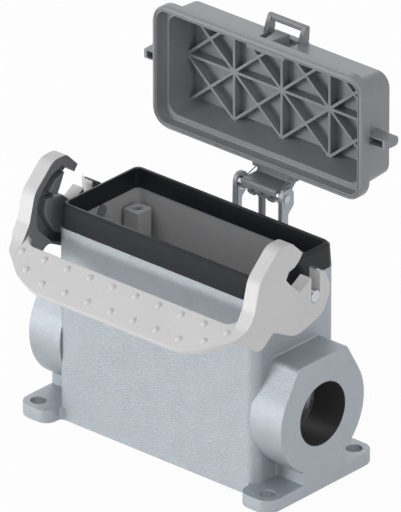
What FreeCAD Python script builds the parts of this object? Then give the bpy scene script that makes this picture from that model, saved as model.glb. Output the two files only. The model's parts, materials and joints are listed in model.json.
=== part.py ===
import FreeCAD, Part
import math
import os

from FreeCAD import Vector

# Surface-mount housing of a heavy duty rectangular connector, all sizes in mm.
# X runs along the housing, Y to the back where the lid is hinged, Z up.
# The origin is the centre of the mounting hole pattern, on the base plane.
# The lever and the lid are both modelled open, as the pose in which parts are fitted.

# Housing casting
BODY_LENGTH = 91.0
BODY_WIDTH = 41.7
BODY_CORNER_R = 4.0
WALL = 2.0
FLOOR = 3.0
SHOULDER_Z = 74.0
RIM_HEIGHT = 4.4
RIM_WALL = 1.0

# Feet with the four mounting holes
FOOT_THICK = 5.0
FOOT_EDGE = 5.5
FOOT_INNER_R = 4.6
FOOT_BLEND_R = 1.6
HOLE_OUT_X = 7.0
HOLE_OUT_Y = 1.65
HOLE_R = 2.9

# Cable entry bosses, with the upper half of a hexagon and a round lower half
BOSS_R = 21.5
BOSS_Z = 28.8
BOSS_WEB_HALF = 9.8
BOSS_BLEND_R = 2.5
ENTRY_R = 11.5

# Posts that take the four screws of a contact insert
POST_SIZE = 7.0
POST_INSET_X = 4.75
POST_INSET_Y = 5.35
POST_TOP_Z = 70.4
POST_WEB = 3.0
POST_HOLE_R = 1.65
POST_HOLE_DEPTH = 12.0

# Rim gasket
GASKET_HEIGHT = 8.7
GASKET_DRAFT = 0.6
GASKET_CROWN = 1.0
GASKET_SKIRT = 1.0
GASKET_LIP = 0.5
GASKET_CORNER_R = 4.0

# Pivot pins of the lever, riveted through the end walls
PIVOT_DROP = 1.6
PIVOT_R = 2.15
PIVOT_SHANK_R = 1.3
PIVOT_HEAD_R = 2.4
PIVOT_HEAD = 0.5
RUNNING_FIT = 0.08

# Locking lever, whose arm outlines are drawn as shares of the arm's reach from its pivot
ARM_GAP = 3.0
ARM_THICK = 5.9
ARM_WEB = 1.5
ARM_PAD_SET = 1.0
ARM_REACH = 31.0
BAR_THICK = 2.4
BAR_DEPTH = 15.6
BAR_TILT = 34.0
BAR_OUT = 34.4
BAR_DROP = 0.9
BAR_ROOT = 6.0
BAR_CORNER_X = 2.6
BAR_SHOULDER_X = 12.4
BAR_SLOPE_X = 21.4
BAR_CORNER_R = 5.0
PEG_TOP = 17.65

# Lid, sizes given as it lies closed on the gasket
LID_OVERHANG = 2.5
LID_GASKET_GAP = 0.55
LID_CORNER_R = 7.5
LID_FLANGE = 4.7
LID_EDGE = 0.7
LID_LEDGE_DEPTH = 4.0
LID_HEIGHT = 18.5
LID_WALL = 1.5
LID_DRAFT = 1.0
LID_BODY_SET = 1.5
LID_TOP_EDGE = 1.6
LID_LIP = 0.4
LID_GROOVE = 0.4
RIB_THICK = 1.1
RIB_DEPTH = 3.9
RIB_COLUMNS = 4
RIM_DROP = 3.2

# Pegs of the lid that the lever's hooks hold
PEG_REACH = 7.0
PEG_LOW = 3.9
PEG_THICK = 4.0
PEG_POCKET = 2.6

# Pull loop of the lid, with a pocket on each side of its tongue
LOOP_HALF = 8.7
LOOP_LEG = 1.8
LOOP_BAR = 2.2
LOOP_REACH = 5.2
LOOP_EDGE_R = 0.7
LOOP_RIDGE = 0.35
LOOP_POCKET = 2.2
LOOP_POCKET_BACK = 3.6
TONGUE_FRONT = 2.7
TONGUE_BACK = 5.7

# Lid hinge
HINGE_OUT = 13.35
HINGE_UP = 8.25
HINGE_PIN_R = 1.5
HINGE_PIN_PROUD = 0.3
EAR_GAP = 9.8
EAR_THICK = 1.5
EAR_HEAD_R = 3.45
EAR_FRONT = 2.4
EAR_BACK = 3.7
EAR_CORNER_R = 2.8
EAR_NECK = 3.5
EAR_LEAN = 0.3
EAR_ROOT_Z = 51.0
SPRING_ROOM = 2.0
KNUCKLE_WALL = 1.1
KNUCKLE_CHEEK = 1.8
KNUCKLE_SIDE = 3.4
HINGE_PLATE = 3.0
HINGE_PLATE_BACK = 9.2
HINGE_PLATE_HALF = 10.15
COVER_DROP = 4.6
COVER_LOW = 0.2
COVER_EDGE_R = 0.4
STOP_THICK = 1.8
STOP_GAP = 0.3
STOP_TAIL = 3.0
STOP_ROOT_Z = 54.8
LID_SWING = 90.0

# Torsion springs of the lid
SPRING_WIRE_R = 0.27
SPRING_TURNS = 2
SPRING_PLAY = 0.3
SPRING_COIL_GAP = 0.06
SPRING_LEG_GAP = 0.1
SPRING_LEG_ANGLE = 68.0

# Sizes that follow from those above
BODY_X = BODY_LENGTH / 2
BODY_Y = BODY_WIDTH / 2
CAVITY_X = BODY_X - WALL
CAVITY_Y = BODY_Y - WALL
HOLE_X = BODY_X + HOLE_OUT_X
HOLE_Y = BODY_Y + HOLE_OUT_Y
FOOT_X = HOLE_X + FOOT_EDGE
FOOT_Y = HOLE_Y + FOOT_EDGE
POST_X = CAVITY_X - POST_INSET_X
POST_Y = CAVITY_Y - POST_INSET_Y
PIVOT_Z = SHOULDER_Z - PIVOT_DROP
ARM_INNER_X = BODY_X + ARM_GAP
ARM_OUTER_X = ARM_INNER_X + ARM_THICK
LID_X = BODY_X + LID_OVERHANG
LID_Y = BODY_Y + LID_OVERHANG
GASKET_TOP_Z = SHOULDER_Z + GASKET_HEIGHT
HINGE_Y = BODY_Y + HINGE_OUT
HINGE_Z = SHOULDER_Z + HINGE_UP
LID_RIM_Z = HINGE_Z - RIM_DROP
EAR_OUTER_X = EAR_GAP + EAR_THICK


def block(x0, x1, y0, y1, z0, z1):
    """Box between two opposite corners."""
    return Part.makeBox(x1 - x0, y1 - y0, z1 - z0, Vector(x0, y0, z0))


def rod(radius, start, direction, length):
    """Plain cylinder from a start point."""
    return Part.makeCylinder(radius, length, start, direction)


def on_yz(a, b):
    """Plane of the end views, at X = 0."""
    return Vector(0, a, b)


def on_level(z):
    """Horizontal plane at height z."""
    return lambda a, b: Vector(a, b, z)


def rounded_outline(corners, plane):
    """Closed wire through corners (a, b, radius) on a plane, each corner rounded by its radius."""
    points = [plane(a, b) for a, b, _ in corners]
    rounds = []
    for index, (_, _, radius) in enumerate(corners):
        corner = points[index]
        back = (points[index - 1] - corner).normalize()
        ahead = (points[(index + 1) % len(points)] - corner).normalize()
        half_angle = back.getAngle(ahead) / 2
        reach = radius / math.tan(half_angle)
        depth = radius / math.sin(half_angle) - radius
        middle = corner + (back + ahead).normalize() * depth
        rounds.append((corner + back * reach, middle, corner + ahead * reach))
    edges = []
    for index, (start, middle, end) in enumerate(rounds):
        before = rounds[index - 1][2]
        if before.distanceToPoint(start) > 1e-6:
            edges.append(Part.LineSegment(before, start).toShape())
        if start.distanceToPoint(end) > 1e-6:
            edges.append(Part.Arc(start, middle, end).toShape())
    return Part.Wire(edges)


def prism(corners, plane, direction):
    """Solid of a rounded outline pushed along a direction."""
    return Part.Face(rounded_outline(corners, plane)).extrude(direction)


def end_profile(corners, x0, x1):
    """Prism of a Y-Z outline between two X positions."""
    solid = prism(corners, on_yz, Vector(x1 - x0, 0, 0))
    solid.translate(Vector(x0, 0, 0))
    return solid


def rectangle(half_x, half_y, radius):
    """Corners of a centred rectangle."""
    return [
        (half_x, half_y, radius),
        (-half_x, half_y, radius),
        (-half_x, -half_y, radius),
        (half_x, -half_y, radius),
    ]


def upright(half_x, half_y, radius, z0, z1):
    """Prism of a rounded rectangle between two heights."""
    return prism(rectangle(half_x, half_y, radius), on_level(z0), Vector(0, 0, z1 - z0))


def drafted(half_x, half_y, radius, z0, z1, draft):
    """Rounded rectangle that narrows by the draft from z0 to z1."""
    low = rounded_outline(rectangle(half_x, half_y, radius), on_level(z0))
    high = rounded_outline(rectangle(half_x - draft, half_y - draft, radius - draft), on_level(z1))
    return Part.makeLoft([low, high], True, True)


def mirrored_x(shape):
    """Mirror image across the middle plane X = 0."""
    return shape.mirror(Vector(0, 0, 0), Vector(1, 0, 0))


def both_ends(shape):
    """A shape with its mirror image across X = 0."""
    return [shape, mirrored_x(shape)]


def level_edges(shape, z):
    """Edges of a shape that lie wholly at one height."""
    found = []
    for edge in shape.Edges:
        box = edge.BoundBox
        if abs(box.ZMin - z) < 1e-6 and abs(box.ZMax - z) < 1e-6:
            found.append(edge)
    return found


def end_foot():
    """Right-hand foot plate with its two holes, joined to the body by small blends."""
    inner_x = CAVITY_X
    root_x = inner_x - FOOT_BLEND_R - POST_INSET_X
    corners = [
        (FOOT_X, FOOT_Y, FOOT_EDGE),
        (inner_x, FOOT_Y, FOOT_INNER_R),
        (inner_x, BODY_Y, FOOT_BLEND_R),
        (root_x, BODY_Y, 0),
        (root_x, -BODY_Y, 0),
        (inner_x, -BODY_Y, FOOT_BLEND_R),
        (inner_x, -FOOT_Y, FOOT_INNER_R),
        (FOOT_X, -FOOT_Y, FOOT_EDGE),
    ]
    plate = prism(corners, on_level(0), Vector(0, 0, FOOT_THICK))
    holes = [
        rod(HOLE_R, Vector(HOLE_X, side * HOLE_Y, 0), Vector(0, 0, 1), FOOT_THICK)
        for side in (-1, 1)
    ]
    return plate.cut(holes)


def cable_boss():
    """Right-hand boss: round below, half a hexagon above, on a web down to the foot."""
    flat_half = BOSS_R * math.tan(math.radians(30))
    tangent_y = BOSS_R * math.cos(math.radians(30))
    tangent_z = BOSS_R * math.sin(math.radians(30))
    start_x = CAVITY_X
    length = FOOT_X - start_x
    disc = rod(BOSS_R, Vector(start_x, 0, BOSS_Z), Vector(1, 0, 0), length)
    crown = end_profile(
        [
            (tangent_y, BOSS_Z + tangent_z, 0),
            (flat_half, BOSS_Z + BOSS_R, BOSS_BLEND_R),
            (-flat_half, BOSS_Z + BOSS_R, BOSS_BLEND_R),
            (-tangent_y, BOSS_Z + tangent_z, 0),
            (0, BOSS_Z, 0),
        ],
        start_x,
        FOOT_X,
    )
    web = block(start_x, FOOT_X, -BOSS_WEB_HALF, BOSS_WEB_HALF, 0, BOSS_Z)
    return disc.fuse([crown, web])


def insert_post(side_x, side_y):
    """Post with a tapped hole, tied to the end wall by a web."""
    centre = Vector(side_x * POST_X, side_y * POST_Y, 0)
    half = POST_SIZE / 2
    post = block(-half, half, -half, half, 0, POST_TOP_Z)
    post.translate(centre)
    wall_x = side_x * (CAVITY_X + WALL / 2)
    low_x, high_x = sorted((centre.x, wall_x))
    web_y = centre.y
    web = block(low_x, high_x, web_y - POST_WEB / 2, web_y + POST_WEB / 2, 0, POST_TOP_Z - POST_WEB)
    hole_z = POST_TOP_Z - POST_HOLE_DEPTH
    hole = rod(POST_HOLE_R, Vector(centre.x, centre.y, hole_z), Vector(0, 0, 1), POST_HOLE_DEPTH)
    return post.fuse(web).cut(hole)


def hinge_ear():
    """Right-hand ear of the lid hinge: a wide head on a narrower neck behind the back wall."""
    front = HINGE_Y - EAR_FRONT
    back = HINGE_Y + EAR_BACK
    top = HINGE_Z + EAR_HEAD_R
    root_y = BODY_Y - WALL / 2
    low_z = SHOULDER_Z - EAR_HEAD_R
    neck_front = front - EAR_LEAN
    neck_back = neck_front + EAR_NECK
    neck_z = low_z + 2 * EAR_CORNER_R
    corners = [
        (root_y, EAR_ROOT_Z, 0),
        (root_y, low_z - EAR_HEAD_R, 0),
        (neck_front, low_z + EAR_THICK, EAR_HEAD_R),
        (front, top, EAR_CORNER_R),
        (back, top, EAR_CORNER_R),
        (back, HINGE_Z - EAR_HEAD_R, EAR_CORNER_R / 2),
        (neck_back, neck_z, EAR_CORNER_R / 2),
        (neck_back, low_z, EAR_CORNER_R),
    ]
    return end_profile(corners, EAR_GAP, EAR_OUTER_X)


def stop_web_top():
    """Height of the web between the ears."""
    return SHOULDER_Z - EAR_HEAD_R / 2


def stop_web():
    """Web between the two ears, whose back face stops the lid at a right angle."""
    root_y = BODY_Y - WALL / 2
    top = stop_web_top()
    face_y = HINGE_Y - STOP_THICK / 2 - STOP_GAP
    corners = [
        (root_y, STOP_ROOT_Z, 0),
        (root_y, top - EAR_HEAD_R, 0),
        (face_y - EAR_HEAD_R, top, EAR_HEAD_R / 2),
        (face_y, top, RIB_THICK / 2),
        (face_y, top - EAR_HEAD_R, EAR_HEAD_R / 2),
    ]
    return end_profile(corners, -EAR_OUTER_X, EAR_OUTER_X)


def housing_body():
    """The casting: walls, floor, feet, bosses, posts, hinge ears and the tongue in the gasket."""
    shell = upright(BODY_X, BODY_Y, BODY_CORNER_R, 0, SHOULDER_Z)
    rim_x = CAVITY_X + GASKET_LIP + RIM_WALL
    rim_y = CAVITY_Y + GASKET_LIP + RIM_WALL
    rim = upright(rim_x, rim_y, BODY_CORNER_R - RIM_WALL, FLOOR, SHOULDER_Z + RIM_HEIGHT)
    outside = [rim, stop_web()]
    for piece in (end_foot(), cable_boss(), hinge_ear()):
        outside += both_ends(piece)
    casting = shell.fuse(outside)
    cavity_r = BODY_CORNER_R - WALL
    cavity = upright(CAVITY_X, CAVITY_Y, cavity_r, FLOOR, SHOULDER_Z + RIM_HEIGHT)
    lip_room = upright(
        CAVITY_X + GASKET_LIP,
        CAVITY_Y + GASKET_LIP,
        cavity_r + GASKET_LIP,
        SHOULDER_Z + GASKET_SKIRT,
        SHOULDER_Z + RIM_HEIGHT,
    )
    casting = casting.cut([cavity, lip_room])
    posts = [insert_post(side_x, side_y) for side_x in (-1, 1) for side_y in (-1, 1)]
    casting = casting.fuse(posts)
    holes = []
    for side in (-1, 1):
        out = Vector(side, 0, 0)
        entry = rod(ENTRY_R, Vector(side * (CAVITY_X - WALL / 2), 0, BOSS_Z), out, FOOT_X)
        pin_hole = rod(PIVOT_SHANK_R, Vector(side * (CAVITY_X - WALL), 0, PIVOT_Z), out, 2 * WALL)
        holes += [entry, pin_hole]
    ear_hole = rod(
        HINGE_PIN_R, Vector(-EAR_OUTER_X, HINGE_Y, HINGE_Z), Vector(1, 0, 0), 2 * EAR_OUTER_X
    )
    holes.append(ear_hole)
    return casting.cut(holes).removeSplitter()


def rim_gasket():
    """Rubber cap over the rim: flush with the walls below, drawn in and bevelled at the top."""
    cap = drafted(BODY_X, BODY_Y, GASKET_CORNER_R, SHOULDER_Z, GASKET_TOP_Z, GASKET_DRAFT)
    cap = cap.makeChamfer(GASKET_CROWN, level_edges(cap, GASKET_TOP_Z))
    inner_x = CAVITY_X - GASKET_LIP
    inner_y = CAVITY_Y - GASKET_LIP
    inner_r = BODY_CORNER_R - WALL
    opening = upright(inner_x, inner_y, inner_r, SHOULDER_Z, GASKET_TOP_Z)
    rim_x = CAVITY_X + GASKET_LIP + RIM_WALL
    rim_y = CAVITY_Y + GASKET_LIP + RIM_WALL
    rim_top = SHOULDER_Z + RIM_HEIGHT
    rim_room = upright(rim_x, rim_y, BODY_CORNER_R - RIM_WALL, SHOULDER_Z, rim_top)
    skirt_z = SHOULDER_Z + GASKET_SKIRT
    skirt_x = CAVITY_X + GASKET_LIP
    skirt_y = CAVITY_Y + GASKET_LIP
    skirt = upright(skirt_x, skirt_y, inner_r + GASKET_LIP, skirt_z, rim_top)
    return cap.cut(rim_room).fuse(skirt).cut(opening).removeSplitter()


def pivot_pin(side):
    """Shouldered rivet: journal for the lever outside, thin shank and flat head inside."""
    out = Vector(side, 0, 0)
    journal = rod(PIVOT_R, Vector(side * BODY_X, 0, PIVOT_Z), out, ARM_OUTER_X - BODY_X)
    shank = rod(PIVOT_SHANK_R, Vector(side * CAVITY_X, 0, PIVOT_Z), out, WALL)
    head = rod(PIVOT_HEAD_R, Vector(side * (CAVITY_X - PIVOT_HEAD), 0, PIVOT_Z), out, PIVOT_HEAD)
    return journal.fuse([shank, head]).removeSplitter()


def from_pivot(corners):
    """Corners as shares of the arm's reach from the pivot, set in the housing's frame."""
    return [
        (a * ARM_REACH, PIVOT_Z + b * ARM_REACH, radius * ARM_REACH) for a, b, radius in corners
    ]


def arm_outline():
    """Outer edge of a lever arm: hooked head, front edge, heel and round hub."""
    return from_pivot(
        [
            (-0.203, 0.606, 0),
            (-0.387, 0.79, 0.129),
            (-0.6, 0.794, 0.194),
            (-0.913, 0.497, 0.258),
            (-1, 0.161, 0.194),
            (-1.123, -0.037, 0.226),
            (-1.271, -0.137, 0),
            (-0.91, -0.361, 0.077),
            (-0.703, -0.187, 0.113),
            (-0.316, -0.387, 0.29),
            (0.135, -0.265, 0.226),
            (0.271, 0.019, 0.194),
            (0.174, 0.239, 0.077),
            (0.071, 0.303, 0),
        ]
    )


def hook_notch():
    """Channel that takes the lid's peg, wider than the peg's swing about the pivot."""
    return from_pivot(
        [
            (-0.252, 0.148, 0),
            (-0.413, 0.294, 0),
            (-0.477, 0.374, 0),
            (-0.435, 0.452, 0),
            (-0.342, 0.474, 0),
            (-0.268, 0.526, 0),
            (-0.161, 0.661, 0),
            (0.145, 0.406, 0),
            (0.071, 0.297, 0),
            (-0.077, 0.248, 0),
        ]
    )


def arm_groove():
    """Hollow of the arm's inner side, which leaves a band along the outer edge."""
    return from_pivot(
        [
            (-0.287, 0.561, 0),
            (-0.458, 0.684, 0.097),
            (-0.632, 0.626, 0.097),
            (-0.877, 0.406, 0.161),
            (-0.89, 0.052, 0.194),
            (-0.613, -0.213, 0.129),
            (-0.29, -0.323, 0.194),
            (0.084, -0.219, 0.161),
            (0.2, 0.019, 0.129),
            (0.116, 0.316, 0),
            (-0.129, 0.316, 0),
        ]
    )


def arm_pads():
    """Raised pads inside the hollow: a lens by the hook and a round one by the pivot."""
    lens = [
        (-0.384, 0.574, 0),
        (-0.51, 0.535, 0.129),
        (-0.639, 0.406, 0),
        (-0.503, 0.316, 0),
    ]
    hub = [
        (-0.674, 0.329, 0),
        (-0.729, 0.168, 0.161),
        (-0.548, -0.123, 0.194),
        (-0.194, -0.258, 0.161),
        (0.11, -0.148, 0.129),
        (0.168, 0.032, 0.097),
        (0.142, 0.245, 0),
        (0.071, 0.294, 0),
        (-0.323, 0.281, 0),
    ]
    return from_pivot(lens), from_pivot(hub)


def lever_arm():
    """Right-hand arm with the pivot slot, the hook and the hollow inner side."""
    arm = end_profile(arm_outline(), ARM_INNER_X, ARM_OUTER_X)
    web_x = ARM_OUTER_X - ARM_WEB
    arm = arm.cut(end_profile(arm_groove(), ARM_INNER_X, web_x))
    pad_x = ARM_INNER_X + ARM_PAD_SET
    pads = [end_profile(pad, pad_x, web_x + ARM_WEB / 2) for pad in arm_pads()]
    arm = arm.fuse(pads)
    slot_r = PIVOT_R + RUNNING_FIT
    inside = Vector(ARM_INNER_X, 0, PIVOT_Z)
    eye = rod(slot_r, inside, Vector(1, 0, 0), ARM_THICK)
    slot = block(ARM_INNER_X, ARM_OUTER_X, -slot_r, slot_r, PIVOT_Z, PIVOT_Z + BAR_OUT)
    notch = end_profile(hook_notch(), ARM_INNER_X, ARM_OUTER_X)
    return arm.cut([eye, slot, notch])


def bar_half(root):
    """Corners of the bar's right-hand half, from behind its inner edge to its front."""
    return [
        (ARM_OUTER_X, -root, 0),
        (ARM_OUTER_X, -BAR_DEPTH * 0.13, 2 * BAR_CORNER_R),
        (ARM_OUTER_X - BAR_CORNER_X, BAR_DEPTH * 0.29, BAR_CORNER_R),
        (ARM_OUTER_X - BAR_SHOULDER_X, BAR_DEPTH * 0.79, 3 * BAR_CORNER_R),
        (ARM_OUTER_X - BAR_SLOPE_X, BAR_DEPTH, 4 * BAR_CORNER_R),
    ]


def whole_bar(half):
    """Corners of a half with its mirror image."""
    return half + [(-x, v, radius) for x, v, radius in reversed(half)]


def bar_prism(corners, above, below):
    """Prism in the tilted bar's plane, from above its top face to below it."""
    tilt = math.radians(BAR_TILT)
    outward = Vector(0, -math.cos(tilt), -math.sin(tilt))
    down = Vector(0, math.sin(tilt), -math.cos(tilt))
    edge = Vector(0, -BAR_OUT, PIVOT_Z - BAR_DROP) - down * above

    def on_bar(x, v):
        return edge + Vector(x, 0, 0) + outward * v

    return prism(corners, on_bar, down * (above + below))


def locking_lever():
    """The whole lever as one piece: two arms whose feet follow the bar's rounded corners."""
    inner = [(-ARM_INNER_X, -BAR_ROOT, 0), (-ARM_INNER_X, 0, BAR_CORNER_R)]
    inner += [(-x, v, radius) for x, v, radius in reversed(inner)]
    bar = bar_prism(whole_bar(bar_half(BAR_ROOT)) + inner, 0, BAR_THICK)
    around = block(
        -ARM_OUTER_X,
        ARM_OUTER_X,
        -BAR_OUT - BAR_DEPTH,
        -BAR_OUT + BAR_DEPTH,
        PIVOT_Z - ARM_REACH,
        PIVOT_Z + ARM_REACH,
    )
    beyond = around.cut(bar_prism(whole_bar(bar_half(ARM_REACH)), ARM_REACH, ARM_REACH))
    arms = [arm.cut(beyond) for arm in both_ends(lever_arm())]
    return bar.fuse(arms).removeSplitter()


def lid_shell():
    """Flange and domed body of the lid with its stepped hollow, closed and rim down."""
    z = LID_RIM_Z
    top = z + LID_HEIGHT
    flange = upright(LID_X, LID_Y, LID_CORNER_R, z, z + LID_FLANGE)
    flange_edges = level_edges(flange, z) + level_edges(flange, z + LID_FLANGE)
    flange = flange.makeChamfer(LID_EDGE, flange_edges)
    body_x = LID_X - LID_BODY_SET
    body_y = LID_Y - LID_BODY_SET * 2
    body_r = LID_CORNER_R - LID_BODY_SET
    dome = drafted(body_x, body_y, body_r, z + LID_FLANGE / 2, top, LID_DRAFT)
    dome = dome.makeChamfer(LID_TOP_EDGE, level_edges(dome, top))
    gasket_inset = GASKET_DRAFT * (z - SHOULDER_Z) / GASKET_HEIGHT
    opening_x = BODY_X - gasket_inset + LID_GASKET_GAP
    opening_y = BODY_Y - gasket_inset + LID_GASKET_GAP
    mouth = upright(opening_x, opening_y, GASKET_CORNER_R, z, z + LID_LEDGE_DEPTH)
    lip_x = opening_x + LID_LIP
    lip_y = opening_y + LID_LIP
    lip = upright(lip_x, lip_y, GASKET_CORNER_R, z, z + LID_GROOVE)
    groove = upright(lip_x + LID_GROOVE, lip_y + LID_GROOVE, GASKET_CORNER_R, z, z + LID_GROOVE)
    hollow = drafted(
        body_x - 2 * LID_WALL,
        body_y - LID_WALL,
        body_r - LID_WALL,
        z + LID_LEDGE_DEPTH,
        top - LID_WALL,
        LID_DRAFT,
    )
    return flange.fuse(dome).cut([mouth, groove.cut(lip), hollow])


def lid_ribs():
    """Rib lattice under the lid's top: cross ribs, one long rib and crossed diagonals."""
    pitch_x = 2 * CAVITY_X / RIB_COLUMNS
    reach_y = CAVITY_Y - RIB_THICK / 2
    top = LID_RIM_Z + LID_HEIGHT - LID_WALL * 0.8
    low = LID_RIM_Z + LID_HEIGHT - LID_WALL - RIB_DEPTH
    half = RIB_THICK / 2
    ribs = [block(-BODY_X, BODY_X, -half, half, low, top)]
    for column in range(1, RIB_COLUMNS):
        x = -CAVITY_X + column * pitch_x
        ribs.append(block(x - half, x + half, -BODY_Y, BODY_Y, low, top))
    length = math.hypot(pitch_x, reach_y)
    slope = math.degrees(math.atan2(reach_y, pitch_x))
    for column in range(RIB_COLUMNS):
        for side in (-1, 1):
            centre = Vector(-CAVITY_X + (column + 0.5) * pitch_x, side * reach_y / 2, 0)
            for turn in (-slope, slope):
                rib = block(-length / 2, length / 2, -half, half, low, top)
                rib.rotate(Vector(0, 0, 0), Vector(0, 0, 1), turn)
                rib.translate(centre)
                ribs.append(rib)
    lattice = ribs[0].fuse(ribs[1:])
    room = upright(CAVITY_X, CAVITY_Y, LID_CORNER_R - 2 * LID_WALL, low, top)
    return lattice.common(room)


def lid_peg():
    """Right-hand peg for the lever's hook: rounded on top, with a pocket below."""
    low = LID_RIM_Z + PEG_LOW
    high = PIVOT_Z + PEG_TOP
    half = PEG_THICK / 2
    foot_half = half * 0.85
    crown_r = half * 0.9
    corners = [
        (foot_half, low, 0),
        (half, high, crown_r),
        (-half, high, crown_r),
        (-foot_half, low, 0),
    ]
    tip_x = LID_X + PEG_REACH
    peg = end_profile(corners, LID_X - 2 * LID_BODY_SET, tip_x)
    pocket_half = PEG_POCKET / 2
    pocket_x = LID_X - LID_BODY_SET / 2
    pocket_top = high - 2 * LID_WALL
    pocket = block(pocket_x, tip_x - LID_WALL, -pocket_half, pocket_half, low, pocket_top)
    return peg.cut(pocket)


def loop_boss():
    """Thicker wall behind the pull loop, with the recess that holds the tongue."""
    wall_y = -(LID_Y - LID_BODY_SET * 2)
    start_z = LID_RIM_Z + LID_FLANGE
    top = LID_RIM_Z + LID_HEIGHT
    floor_y = wall_y + LOOP_POCKET
    boss = block(-LOOP_HALF, LOOP_HALF, floor_y - LID_WALL, floor_y + LID_WALL, start_z, top - LID_WALL / 2)
    half = LOOP_HALF - LOOP_LEG
    recess = block(-half, half, wall_y - LID_WALL, floor_y, start_z, top - LOOP_POCKET_BACK)
    return boss, recess


def pull_loop():
    """Finger loop on the lid's front wall: a ridged bar on two legs, and a tapered tongue."""
    wall_y = -(LID_Y - LID_BODY_SET * 2)
    out_y = wall_y - LOOP_REACH
    back_y = out_y + LOOP_BAR
    top = LID_RIM_Z + LID_HEIGHT - LID_WALL / 3
    low = top - LOOP_BAR
    middle = (out_y + back_y) / 2
    bar = end_profile(
        [
            (out_y, low, LOOP_EDGE_R),
            (back_y, low, LOOP_EDGE_R),
            (back_y, top, LOOP_EDGE_R),
            (middle, top - LOOP_RIDGE, 0),
            (out_y, top, LOOP_EDGE_R),
            (out_y - LOOP_RIDGE, (low + top) / 2, 0),
        ],
        -LOOP_HALF,
        LOOP_HALF,
    )
    root_y = wall_y + LID_DRAFT + LID_WALL / 2
    leg = end_profile(
        [
            (root_y, low - LOOP_BAR, 0),
            (wall_y, low - LOOP_BAR, LOOP_EDGE_R),
            (out_y, low, LOOP_EDGE_R),
            (out_y, top, LOOP_EDGE_R),
            (wall_y, top - LOOP_RIDGE, LOOP_EDGE_R),
            (root_y, top - LID_TOP_EDGE, 0),
        ],
        LOOP_HALF - LOOP_LEG,
        LOOP_HALF,
    )
    start_z = LID_RIM_Z + LID_FLANGE
    end_z = top - LOOP_POCKET_BACK
    tongue = prism(
        [
            (-TONGUE_FRONT / 2, start_z, 0),
            (TONGUE_FRONT / 2, start_z, 0),
            (TONGUE_BACK / 2, end_z, 0),
            (-TONGUE_BACK / 2, end_z, 0),
        ],
        lambda a, b: Vector(a, wall_y - LID_BODY_SET, b),
        Vector(0, LOOP_POCKET + 2 * LID_BODY_SET, 0),
    )
    return [bar, tongue] + both_ends(leg)


def hinge_arm():
    """Arm from the lid to the pin, in the open pose: plate, cover, cheeks, rib and stop tail."""
    plate_y = HINGE_Y + HINGE_PLATE_BACK
    plate_front = plate_y - HINGE_PLATE
    top = HINGE_Z + HINGE_PIN_R + KNUCKLE_WALL + RUNNING_FIT
    root = HINGE_Y + HINGE_Z - LID_Y + 3 * LID_BODY_SET
    plate = block(
        -HINGE_PLATE_HALF, HINGE_PLATE_HALF, plate_front, plate_y, top + KNUCKLE_WALL, root
    )
    cover_half = EAR_GAP - SPRING_ROOM
    front = HINGE_Y - HINGE_PIN_R - KNUCKLE_WALL / 2
    low = HINGE_Z + COVER_LOW
    under = top - KNUCKLE_WALL
    back_y = plate_y - COVER_DROP
    back_z = top - COVER_DROP
    cover = end_profile(
        [
            (front, low, 0),
            (front, top, KNUCKLE_WALL - COVER_LOW),
            (plate_front, top, COVER_EDGE_R),
            (plate_front, top + HINGE_PLATE, 0),
            (plate_y, top + HINGE_PLATE, 0),
            (plate_y, top, 2 * COVER_EDGE_R),
            (back_y, back_z, COVER_EDGE_R),
            (back_y - KNUCKLE_WALL, back_z + KNUCKLE_WALL, 0),
            (plate_front, under, COVER_EDGE_R),
            (front + KNUCKLE_WALL, under, 0),
            (front + KNUCKLE_WALL, low, 0),
        ],
        -cover_half,
        cover_half,
    )
    inside_front = front + COVER_LOW
    inside_top = top - COVER_EDGE_R
    cheek_profile = [
        (inside_front, inside_top, 0),
        (plate_front, inside_top, 0),
        (back_y, back_z, COVER_EDGE_R),
        (HINGE_Y, HINGE_Z - HINGE_PIN_R - 2 * KNUCKLE_WALL, HINGE_PIN_R),
        (inside_front, HINGE_Z - HINGE_PIN_R, KNUCKLE_WALL),
    ]
    cheek = end_profile(cheek_profile, KNUCKLE_SIDE, KNUCKLE_SIDE + KNUCKLE_CHEEK)
    half = STOP_THICK / 2
    tail_low = stop_web_top() - STOP_TAIL
    tail_top = HINGE_Z - HINGE_PIN_R
    tail = block(-half, half, HINGE_Y - half, HINGE_Y + half, tail_low, tail_top)
    centre_rib = end_profile(cheek_profile, -half, half)
    arm = plate.fuse([cover, centre_rib, tail] + both_ends(cheek))
    bore = rod(
        HINGE_PIN_R + RUNNING_FIT,
        Vector(-EAR_OUTER_X, HINGE_Y, HINGE_Z),
        Vector(1, 0, 0),
        2 * EAR_OUTER_X,
    )
    return arm.cut(bore)


def opened(shape):
    """A piece drawn on the closed lid, swung open about the hinge."""
    turned = shape.copy()
    turned.rotate(Vector(0, HINGE_Y, HINGE_Z), Vector(1, 0, 0), -LID_SWING)
    return turned


def protective_lid():
    """The lid moulding with its ribs, pegs, pull loop and hinge arm, swung open."""
    boss, recess = loop_boss()
    walls = lid_shell().fuse([lid_ribs(), boss]).cut(recess)
    closed = walls.fuse(pull_loop() + both_ends(lid_peg()))
    return opened(closed).fuse(hinge_arm()).removeSplitter()


def lid_hinge_pin():
    """Straight pin through both ears and the lid's cheeks."""
    half = EAR_OUTER_X + HINGE_PIN_PROUD
    return rod(HINGE_PIN_R, Vector(-half, HINGE_Y, HINGE_Z), Vector(1, 0, 0), 2 * half)


def wire_section(centre, heading, axis):
    """Four-sided section of the spring wire, square to its heading."""
    along = Vector(axis).normalize() * SPRING_WIRE_R
    points = []
    for corner in range(4):
        points.append(centre + FreeCAD.Rotation(heading, corner * 90).multVec(along))
    return Part.Face(Part.makePolygon(points + points[:1]))


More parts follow.
